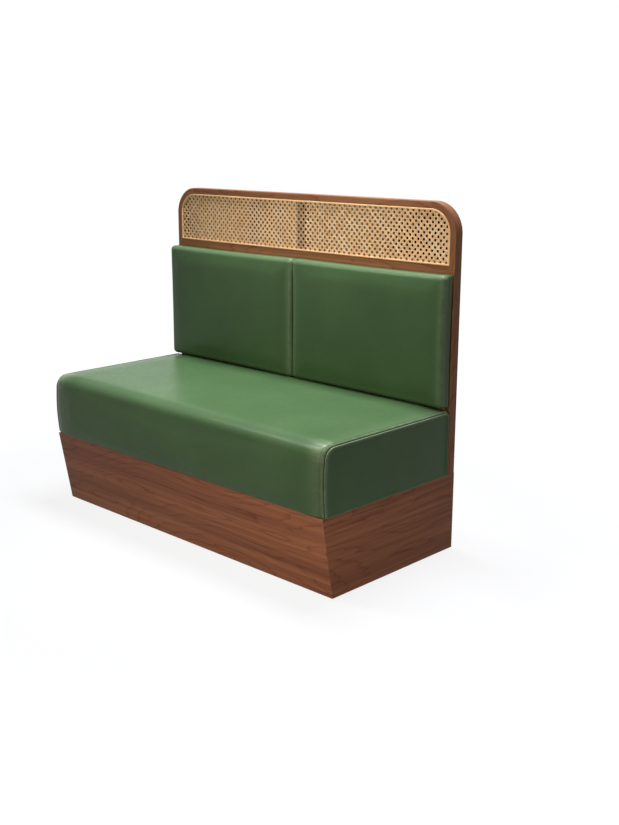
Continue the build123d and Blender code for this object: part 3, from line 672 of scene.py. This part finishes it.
def seat_columns():
    """Places along the seat, close together by the end seams."""
    half = seat_high.x
    inner = half - seam_distances[-1]
    middle_count = round(2 * inner / seat_column_width)
    left = [-half + s for s in seam_distances]
    middle = list(np.linspace(-inner, inner, middle_count + 1)[1:-1])
    return left + middle + [-x for x in reversed(left)]


def close_end(points, faces, ring_start, count, x, shares):
    """Closes a ring of points with smaller rings and a middle point."""
    rim = np.array(points[ring_start : ring_start + count])
    middle = rim.mean(axis=0)
    middle[0] = x
    before = ring_start
    for share in shares:
        after = len(points)
        points.extend(middle + (rim - middle) * share)
        faces.extend(ring_faces(before, after, count))
        before = after
    points.append(middle)
    hub = len(points) - 1
    faces.extend((before + i, before + (i + 1) % count, hub) for i in range(count))


def make_seat_cushion():
    columns = seat_columns()
    points = []
    for x in columns:
        distance = seat_high.x - abs(x)
        drops = (seam_drop(distance, *seam_top_roll), seam_drop(distance, *seam_front_roll))
        points += [(x, y, z) for y, z in seat_section(x / seat_high.x, *drops)]
    count = sum(outline_counts)
    faces = tube_faces(count, len(columns))
    body_count = len(points)
    close_end(points, faces, 0, count, -seat_high.x, end_core_shares)
    close_end(points, faces, body_count - count, count, seat_high.x, end_core_shares)
    cushion = new_piece("seat_cushion", points, faces, leather_hide)
    x, y, z = coordinates(cushion.data).T
    from_seam = seat_high.x - np.abs(x)
    # Painted shade in the seam shut
    mark(cushion, "painted_seam_shade_share", np.exp(-((from_seam / painted_seam_shade_reach) ** painted_seam_shade_sharpness)))
    # Lighter rub near the ends and on the seam edge: partly wear, partly painted highlight
    on_top, on_roll, on_front = rub_highlight_shares
    front_most = seat_low.y + seat_front_roll + seat_front_bulge
    rolls = (y < front_most + seat_front_roll / 2) & (z > seat_high.z - rub_highlight_roll_share * seat_front_roll)
    where = np.where(rolls, on_roll, np.where(y < front_most, on_front, on_top))
    rubbed_highlight_at, rubbed_highlight_width = seam_edge_rub_highlight_place
    by_edge_highlight = seam_edge_rub_highlight * np.exp(-(((from_seam - rubbed_highlight_at) / rubbed_highlight_width) ** 2))
    mark(cushion, "rub", np.maximum(where * np.exp(-((from_seam / rub_highlight_reach) ** 2)), by_edge_highlight))
    by_seam = from_seam < 2 * seam_band
    on_plinth = z < seat_low.z + seat_tuck_roll / 2
    at_back = y > seat_high.y - seat_back_roll / 2
    freedom = np.clip(from_seam / seam_distances[-1], 0, 1) ** 2
    low = np.array((-seat_high.x, seat_low.y - seat_swell_cap, seat_low.z))
    high = np.array((seat_high.x, seat_high.y, seat_high.z + seat_swell_cap))
    inflate(cushion, by_seam | on_plinth | at_back, freedom, seat_swell_cap, low, high)
    return subdivide(cushion)


def inward_directions(rim):
    """Unit directions that point into a closed outline, square to it at each point."""
    along = np.roll(rim, -1, axis=0) - np.roll(rim, 1, axis=0)
    square = np.stack([-along[:, 1], along[:, 0]], axis=1)
    square /= np.linalg.norm(square, axis=1, keepdims=True)
    facing = np.sign(((rim.mean(axis=0) - rim) * square).sum(axis=1, keepdims=True))
    return square * facing


def make_end_panel(name, side):
    """The seat's end: a rolled rim at the seam and a slightly full middle."""
    count = sum(outline_counts)
    points = []
    rim = np.array(seat_section(1.0, *end_rim_drops))
    middle = rim.mean(axis=0)
    inward = inward_directions(rim)
    brim = rim + inward * end_rim_roll[-1][0]
    rings = [(rim + inward * inset, depth) for inset, depth in end_rim_roll]
    rings += [(middle + (brim - middle) * share, depth) for share, depth in end_field_rings]
    for ring, depth in rings:
        points += [(side * (end_low.x + depth), y, z) for y, z in ring]
    faces = tube_faces(count, len(rings))
    last = len(points) - count
    close_end(points, faces, last, count, side * end_high.x, end_core_shares)
    close_end(points, faces, 0, count, side * end_low.x, (0.5,))
    panel = new_piece(name, points, faces, leather_hide)
    # Painted shade in the seam shut on the first rings, and rub with a painted highlight on the rim
    for mark_name, ring_shares in (("painted_seam_shade_share", end_rim_painted_shades), ("rub", end_rim_rub_highlights)):
        shares = np.zeros(len(points))
        for ring, share in enumerate(ring_shares):
            shares[ring * count : (ring + 1) * count] = share
        mark(panel, mark_name, shares)
    return subdivide(panel)


# Back pads
def pad_lines(low, high):
    """Grid lines across a pad, close together by its edges."""
    count = round((high - low - 2 * pad_roll) / pad_grid) + 1
    inner = np.linspace(low + pad_roll, high - pad_roll, count)
    near = np.linspace(0, pad_roll, pad_roll_cells, endpoint=False)
    return np.concatenate([low + near, inner, high - near[::-1]])


def box_shell(xs, ys, zs):
    """The lattice points and quads on the outside of a box."""
    index, points, faces = {}, [], []
    last = (len(xs) - 1, len(ys) - 1, len(zs) - 1)

    def point(i, j, k):
        if (i, j, k) not in index:
            index[(i, j, k)] = len(points)
            points.append((xs[i], ys[j], zs[k]))
        return index[(i, j, k)]

    for axis in (2, 1, 0):
        first, second = (other for other in range(3) if other != axis)
        for level in (0, last[axis]):
            for a in range(last[first]):
                for b in range(last[second]):
                    corners = []
                    for corner in ((a, b), (a + 1, b), (a + 1, b + 1), (a, b + 1)):
                        steps = [level] * 3
                        steps[first], steps[second] = corner
                        corners.append(point(*steps))
                    faces.append(tuple(corners))
    return np.array(points), faces


def make_pad(name, side):
    """A back pad: leather drawn round a board, crowned in front, its sides drawn in between the corners."""
    front = pad_low.y + pad_crown
    low = np.array((pad_low.x, front, pad_low.z))
    high = np.array((pad_high.x, pad_high.y, pad_high.z))
    xs = pad_lines(low[0], high[0])
    zs = pad_lines(low[2], high[2])
    ys = np.concatenate([
        front + np.linspace(0, pad_roll, pad_roll_cells, endpoint=False),
        np.linspace(front + pad_roll, high[1] - pad_back_roll, pad_depth_lines),
        high[1] - np.linspace(0, pad_back_roll, pad_back_lines, endpoint=False)[::-1],
    ])
    points, faces = box_shell(xs, ys, zs)

    behind = np.clip((points[:, 1] - front - pad_roll) / (high[1] - front - pad_roll), 0, 1)
    roll = (pad_roll + (pad_back_roll - pad_roll) * behind)[:, None]
    core = np.clip(points, low + roll, high - roll)
    out = points - core
    away = np.linalg.norm(out, axis=1, keepdims=True)
    points = core + out * roll / np.maximum(away, tiny) * (away > tiny)
    x, y, z = points.T

    middle = (low + high) / 2
    half = (high - low) / 2
    u = np.clip((x - middle[0]) / half[0], -1, 1)
    w = np.clip((z - middle[2]) / half[2], -1, 1)
    from_side = (1 - np.abs(u)) * half[0]
    from_end = (1 - np.abs(w)) * half[2]
    share = np.clip((high[1] - y) / (high[1] - front), 0, 1)
    crown = (pad_crown - seat_swell) * (1 - u**2) * (1 - w**2)
    to_side = np.clip(from_side / pad_fall_width, 0, 1)
    to_end = np.clip(from_end / pad_fall_width, 0, 1)
    fall = pad_fall * (1 - (1 - (1 - to_side) ** 2) * (1 - (1 - to_end) ** 2))
    y -= (crown - fall) * share
    x -= np.sign(u) * pad_draw_in * (1 - w**2) * np.abs(u) ** pad_bow_power
    z -= np.sign(w) * pad_draw_in * (1 - u**2) * np.abs(w) ** pad_bow_power

    on_back = y > high[1] - pad_slack
    open_x = np.abs(x - middle[0]) < half[0] - pad_flange
    open_z = np.abs(z - middle[2]) < half[2] - pad_flange
    y[on_back & open_x & open_z] = board_high.y - pad_slack
    x *= side
    pad = new_piece(name, points, faces, leather_hide)
    # Lighter rub on the edge rolls: partly wear, partly a painted highlight
    by_side = np.exp(-((from_side / pad_roll) ** 2))
    by_end = np.exp(-((from_end / pad_roll) ** 2))
    in_front = y < front + pad_fall + pad_roll * pad_rub_highlight_depth_share
    mark(pad, "rub", pad_rub_highlight * np.maximum(by_side, pad_end_rub_highlight_share * by_end) * in_front)

    held = y > high[1] - pad_back_roll * 2
    freedom = (1 - u**pad_freedom_power) * (1 - w**pad_freedom_power)
    ends = sorted((side * (pad_low.x - pad_slack), side * (pad_high.x + pad_slack)))
    limit_low = np.array((ends[0], pad_low.y - pad_swell_cap, pad_low.z - pad_slack))
    limit_high = np.array((ends[1], high[1], pad_high.z + pad_slack))
    inflate(pad, held, freedom, pad_swell_cap, limit_low, limit_high)
    return subdivide(pad)


# Cloths
def thin_sheet(name, front, back, rows, columns, material):
    """A closed sheet from two like grids of points, given row by row."""
    points, faces = front + back, []
    layer = rows * columns
    for start in (0, layer):
        for i in range(rows - 1):
            for j in range(columns - 1):
                a = start + i * columns + j
                faces.append((a, a + columns, a + columns + 1, a + 1))
    grid = np.arange(layer).reshape(rows, columns)
    rim = [grid[:, 0], grid[-1, 1:], grid[-2::-1, -1], grid[0, -2:0:-1]]
    rim = np.concatenate(rim).tolist()
    for a, b in zip(rim, rim[1:] + rim[:1]):
        faces.append((a, b, b + layer, a + layer))
    return new_piece(name, points, faces, material)


def make_dust_cloth():
    """The cloth under the seat, stretched over the opening and sagging a little."""
    xs = np.linspace(cloth_low.x, cloth_high.x, dust_cloth_lines[0])
    ys = np.linspace(cloth_low.y, cloth_high.y, dust_cloth_lines[1])
    middle, half = (cloth_low + cloth_high) / 2, (cloth_high - cloth_low) / 2
    layers = []
    for z in (cloth_high.z, cloth_high.z - cloth_thickness):
        layers.append([
            (x, y, z - dust_cloth_sag * (1 - (x / half.x) ** 2) * (1 - ((y - middle.y) / half.y) ** 2))
            for x in xs for y in ys
        ])
    return thin_sheet("seat_underside_cloth", *layers, len(xs), len(ys), other_finishes["black_cloth"])


def make_cane_lining():
    """The brown cloth that closes the back of the cane window, cut to its round top corners."""
    columns, rows = lining_cells
    radius = rear_cane_high.x - corner_x
    layers = []
    for y in (rear_cane_high.y, rear_cane_high.y + lining_thickness):
        layer = []
        for turn in np.linspace(pi, 0, columns + 1):
            x = rear_cane_high.x * cos(turn)
            past = max(0.0, abs(x) - corner_x)
            top = rear_cane_high.z - radius + sqrt(max(0.0, radius**2 - past**2))
            rise = top - rear_cane_low.z
            layer += [(x, y, rear_cane_low.z + rise * share) for share in np.linspace(0, 1, rows + 1)]
        layers.append(layer)
    return thin_sheet("cane_lining_cloth", *layers, columns + 1, rows + 1, lining_cloth)


# Geometry Nodes
class Maker(Wiring):
    """The wiring of one Geometry Nodes tree with named sizes."""

    def __init__(self, name, sizes, takes_shape=False):
        tree = bpy.data.node_groups.new(name, "GeometryNodeTree")
        tree.interface.new_socket(name="Made", in_out="OUTPUT", socket_type="NodeSocketGeometry")
        if takes_shape:
            tree.interface.new_socket(name="Path", in_out="INPUT", socket_type="NodeSocketGeometry")
        for size in sizes:
            tree.interface.new_socket(name=size, in_out="INPUT", socket_type="NodeSocketFloat")
        super().__init__(tree)
        self.sizes = sizes
        self.entry = tree.nodes.new("NodeGroupInput").outputs

    def grow(self, name, made, material, carrier=None):
        """Wires the output and turns the evaluated result into a plain mesh piece."""
        made = self.add("GeometryNodeRealizeInstances", (made,))
        made = self.add("GeometryNodeSetMaterial", {"Geometry": made, "Material": material})
        exit_node = self.tree.nodes.new("NodeGroupOutput")
        self.tree.links.new(made, exit_node.inputs[0])
        if carrier is None:
            carrier = add_object(name + "_carrier", bpy.data.meshes.new(name))
        modifier = carrier.modifiers.new("maker", "NODES")
        modifier.node_group = self.tree
        for item in self.tree.interface.items_tree:
            if item.in_out == "INPUT" and item.name in self.sizes:
                modifier[item.identifier] = self.sizes[item.name]
        mesh = finished_mesh(carrier)
        carrier.modifiers.remove(modifier)
        bpy.data.objects.remove(carrier)
        mesh.name = name
        piece = add_object(name, mesh)
        smooth(piece)
        return piece


def strand_family(maker, turn, spacing, offset, rise, wave, phase, alternate, seed):
    """Parallel strands that rise and dip as they cross the others, turned to their direction."""
    reach = maker.entry["Reach"]
    count = maker.plus(maker.math("CEIL", maker.over(reach, spacing)), 1.0)
    first = maker.times(maker.math("FLOOR", maker.over(count, 2.0)), spacing)
    start = maker.vector(y=maker.minus(offset, first))
    row = {"Count": count, "Start Location": start, "Offset": maker.vector(y=spacing)}
    lanes = maker.add("GeometryNodeMeshLine", row)
    half = maker.times(reach, 0.5)
    ends = {"Start": maker.vector(x=maker.times(half, -1.0)), "End": maker.vector(x=half)}
    strand = maker.add("GeometryNodeCurvePrimitiveLine", ends)
    samples = maker.over(reach, maker.entry["Sample"])
    strand = maker.add("GeometryNodeResampleCurve", {"Curve": strand, "Count": samples})
    strands = maker.add("GeometryNodeInstanceOnPoints", {"Points": lanes, "Instance": strand})
    strands = maker.add("GeometryNodeRealizeInstances", (strands,))
    along, across = maker.parts(maker.add("GeometryNodeInputPosition"), "XY")
    lane = maker.math("ROUND", maker.over(maker.minus(across, offset), spacing))
    lift = maker.math("SINE", maker.plus(maker.over(maker.times(along, pi), wave), phase))
    lift = maker.times(lift, rise)
    if alternate:
        lift = maker.times(lift, maker.math("COSINE", maker.times(lane, pi)))
    strands = maker.add("GeometryNodeSetPosition", {"Geometry": strands, "Offset": maker.vector(z=lift)})
    tint = maker.add("FunctionNodeRandomValue", {"ID": lane, "Seed": seed}, "Value")
    tinted = {"Geometry": strands, "Name": "tint", "Value": tint}
    strands = maker.add("GeometryNodeStoreNamedAttribute", tinted, data_type="FLOAT", domain="POINT")
    return maker.add("GeometryNodeTransform", {"Geometry": strands, "Rotation": (0.0, 0.0, turn)})


def weave_cane(name, pairs, low, high, pitch, shift, finish):
    """The strands of one cane sheet: slanting pairs, or the single level and upright ones."""
    spare = 2 * max(abs(shift[0]), abs(shift[1]))
    maker = Maker(name, {
        "Pitch": pitch,
        "Reach": spare + ((high.x - low.x + high.z - low.z) / sqrt(2) if pairs else high.x - low.x),
        "Sample": pitch * cane_sample_share,
        "Shift across": shift[0],
        "Shift up": shift[1],
        "Rise": cane_pair_rise if pairs else cane_single_rise,
        "Pair gap": cane_pair_gap,
        "Strand width": cane_pair_width if pairs else cane_single_width,
        "Strand thickness": cane_strand_thickness,
        "Half width": (high.x - low.x) / 2,
        "Half height": (high.z - low.z) / 2,
        "Corner radius": high.x - corner_x,
    })
    entry = maker.entry
    pitch, rise, gap = entry["Pitch"], entry["Rise"], entry["Pair gap"]
    fall = maker.times(rise, -1.0)
    back_gap = maker.times(gap, -1.0)
    if pairs:
        half_pitch = maker.times(pitch, 0.5)
        families = [
            (pi / 4, pitch, gap, rise, half_pitch, 0.0, True, 1),
            (pi / 4, pitch, back_gap, rise, half_pitch, 0.0, True, 2),
            (3 * pi / 4, pitch, gap, rise, pitch, pi / 2, False, 3),
            (3 * pi / 4, pitch, back_gap, fall, pitch, pi / 2, False, 4),
        ]
    else:
        step = maker.over(pitch, sqrt(2))
        half_step = maker.times(step, 0.5)
        families = [
            (0.0, step, half_step, fall, step, 0.0, True, 5),
            (pi / 2, step, half_step, fall, step, 0.0, True, 6),
        ]
    joined = maker.tree.nodes.new("GeometryNodeJoinGeometry")
    for family in families:
        maker.tree.links.new(strand_family(maker, *family), joined.inputs[0])
    shifted = maker.vector(entry["Shift across"], entry["Shift up"])
    moved = maker.add("GeometryNodeTransform", {"Geometry": joined.outputs[0], "Translation": shifted})

    x, y = maker.parts(maker.add("GeometryNodeInputPosition"), "XY")
    x = maker.math("ABSOLUTE", x)
    half_width, half_height, radius = entry["Half width"], entry["Half height"], entry["Corner radius"]
    past_side = maker.math("GREATER_THAN", x, half_width)
    past_top = maker.math("GREATER_THAN", maker.math("ABSOLUTE", y), half_height)
    out = maker.past(x, maker.minus(half_width, radius))
    up = maker.past(y, maker.minus(half_height, radius))
    past_corner = maker.math("GREATER_THAN", maker.length(out, up), radius)
    outside = maker.most(maker.most(past_side, past_top), past_corner)
    compared = {"A": outside, "B": 0.5}
    outside = maker.add("FunctionNodeCompare", compared, operation="GREATER_THAN", data_type="FLOAT")
    cut = {"Geometry": moved, "Selection": outside}
    kept = maker.add("GeometryNodeDeleteGeometry", cut, domain="POINT")
    kept = maker.add("GeometryNodeSetCurveNormal", {"Curve": kept}, mode="Z_UP")
    profile = {"Width": entry["Strand width"], "Height": entry["Strand thickness"]}
    profile = maker.add("GeometryNodeCurvePrimitiveQuadrilateral", profile)
    swept = {"Curve": kept, "Profile Curve": profile, "Fill Caps": True}
    strips = maker.add("GeometryNodeCurveToMesh", swept)
    middle = (0.0, (low.y + high.y) / 2, (low.z + high.z) / 2)
    upright = {"Geometry": strips, "Rotation": (pi / 2, 0.0, 0.0), "Translation": middle}
    strips = maker.add("GeometryNodeTransform", upright)
    return maker.grow(name, strips, finish)


def make_stitches(cushion):
    """Rows of stitches that follow the cushion's top and front beside both end seams."""
    skin = BVHTree.FromObject(cushion, bpy.context.evaluated_depsgraph_get())
    first = outline_counts[0] + outline_counts[1] // 2
    outline = seat_section(1.0, 0.0, 0.0)[first : sum(outline_counts[:5])]
    curve = bpy.data.curves.new("stitch_lines", "CURVE")
    curve.dimensions = "3D"
    for distance in stitch_rows:
        for side in (-1, 1):
            spline = curve.splines.new("POLY")
            spline.points.add(len(outline) - 1)
            for point, (y, z) in zip(spline.points, outline):
                spot, normal, *_ = skin.find_nearest(Vector((side * (seat_high.x - distance), y, z)))
                point.co = (*(spot + normal * stitch_radius * stitch_lift_share), 1.0)
    carrier = add_object("stitch_lines", curve)
    maker = Maker("seat_stitches", {
        "Stitch pitch": stitch_pitch, "Stitch length": stitch_length, "Thread radius": stitch_radius
    }, True)
    path = {"Curve": maker.entry["Path"], "Length": maker.entry["Stitch pitch"]}
    path = maker.add("GeometryNodeResampleCurve", path, mode="LENGTH")
    spots = maker.add("GeometryNodeCurveToPoints", {"Curve": path}, "Points", mode="EVALUATED")
    tangent = spots.node.outputs["Tangent"]
    turn = maker.add("FunctionNodeAlignRotationToVector", {"Vector": tangent}, axis="X")
    bead = maker.add("GeometryNodeMeshUVSphere", {"Segments": 6, "Rings": 4, "Radius": 0.5})
    thick = maker.times(maker.entry["Thread radius"], 2.0)
    size = maker.vector(maker.entry["Stitch length"], thick, thick)
    beads = {"Points": spots, "Instance": bead, "Rotation": turn, "Scale": size}
    rows = maker.add("GeometryNodeInstanceOnPoints", beads)
    return maker.grow("seat_stitches", rows, thread(), carrier)


# Studio
def make_camera():
    camera = add_object("studio_camera", bpy.data.cameras.new("studio_camera"))
    camera.location = camera_place
    camera.rotation_euler = (pi / 2 + camera_pitch, 0.0, camera_turn)
    camera.data.lens = camera_lens
    camera.data.shift_x, camera.data.shift_y = camera_shift
    bpy.context.scene.camera = camera


def seen_directly(wiring):
    """1 for what the camera, a reflection or clear glass sees, and 0 for light on things."""
    rays = wiring.add("ShaderNodeLightPath").node.outputs
    seen = wiring.most(rays["Is Camera Ray"], rays["Is Glossy Ray"])
    return wiring.most(seen, rays["Is Transmission Ray"])


def make_floor():
    half = floor_half
    floor = add_object("studio_floor", bpy.data.meshes.new("studio_floor"))
    corners = [(-half, -half, 0), (half, -half, 0), (half, half, 0), (-half, half, 0)]
    floor.data.from_pydata(corners, [], [(0, 1, 2, 3)])
    material = bpy.data.materials.new("pale_floor")
    material.use_nodes = True
    material.node_tree.nodes.clear()
    wiring = Wiring(material.node_tree)
    place = wiring.add("ShaderNodeTexCoord", output="Object")
    away = wiring.add("ShaderNodeVectorMath", (place,), "Value", operation="LENGTH")
    white = wiring.spread(away, floor_near, floor_far, floor_near_white)
    strength = wiring.times(white, seen_directly(wiring))
    matt = wiring.add("ShaderNodeBsdfDiffuse", {"Color": (floor_grey, floor_grey, floor_grey, 1.0)})
    glow = wiring.add("ShaderNodeEmission", {"Color": (1.0, 1.0, 1.0, 1.0), "Strength": strength})
    both = wiring.add("ShaderNodeAddShader", (matt, glow))
    output = material.node_tree.nodes.new("ShaderNodeOutputMaterial")
    material.node_tree.links.new(both, output.inputs["Surface"])
    floor.data.materials.append(material)


def make_world():
    world = bpy.data.worlds.new("studio")
    world.use_nodes = True
    bpy.context.scene.world = world
    wiring = Wiring(world.node_tree)
    strength = wiring.spread(seen_directly(wiring), 0.0, 1.0, world_strength)
    background = world.node_tree.nodes["Background"]
    background.inputs["Color"].default_value = (1.0, 1.0, 1.0, 1.0)
    wiring.put(background.inputs["Strength"], strength)


def make_lamp(name, place, target, size, power, tint, spread):
    lamp = bpy.data.lights.new(name, "AREA")
    lamp.spread = spread
    lamp.shape = "RECTANGLE"
    lamp.size, lamp.size_y = size
    lamp.energy = power
    lamp.color = tint
    holder = add_object(name, lamp)
    holder.location = place
    holder.rotation_euler = (Vector(target) - Vector(place)).to_track_quat("-Z", "Y").to_euler()


# Making
bpy.context.scene.view_settings.view_transform = "Standard"
make_camera()
make_floor()
make_world()
for lamp_name, settings in lamps.items():
    make_lamp(lamp_name, *settings)
dress_nodes()

seat_cushion = make_seat_cushion()
left_end = make_end_panel("seat_left_end_leather", -1)
right_end = make_end_panel("seat_right_end_leather", 1)
stitches = make_stitches(seat_cushion)
dust_cloth = make_dust_cloth()
cane_lining = make_cane_lining()
left_pad = make_pad("left_back_pad_leather", -1)
right_pad = make_pad("right_back_pad_leather", 1)
cane_sheets = {
    "front_cane": (cane_low, cane_high, cane_pitch, (0.0, 0.0), front_weave),
    "rear_cane": (rear_cane_low, rear_cane_high, rear_cane_pitch, rear_cane_shift, rear_weave_in_painted_shade),
}
cane_pieces = {}
for node, sheet in cane_sheets.items():
    cane_pieces[node] = [
        weave_cane(f"{node}_pairs", True, *sheet),
        weave_cane(f"{node}_singles", False, *sheet),
    ]

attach(seat_cushion, "bench")
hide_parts("seat_cover", "seat_foam")
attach(left_end, "bench")
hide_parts("seat_left_end_panel")
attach(right_end, "bench")
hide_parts("seat_right_end_panel")
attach(stitches, "bench")
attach(dust_cloth, "bench")
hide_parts("seat_dust_cloth")
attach(cane_lining, "bench")
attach(left_pad, "left_back_pad")
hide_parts("left_pad_cover", "left_pad_foam")
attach(right_pad, "right_back_pad")
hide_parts("right_pad_cover", "right_pad_foam")
for node, strands in cane_pieces.items():
    for piece in strands:
        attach(piece, "bench")
        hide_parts(node)
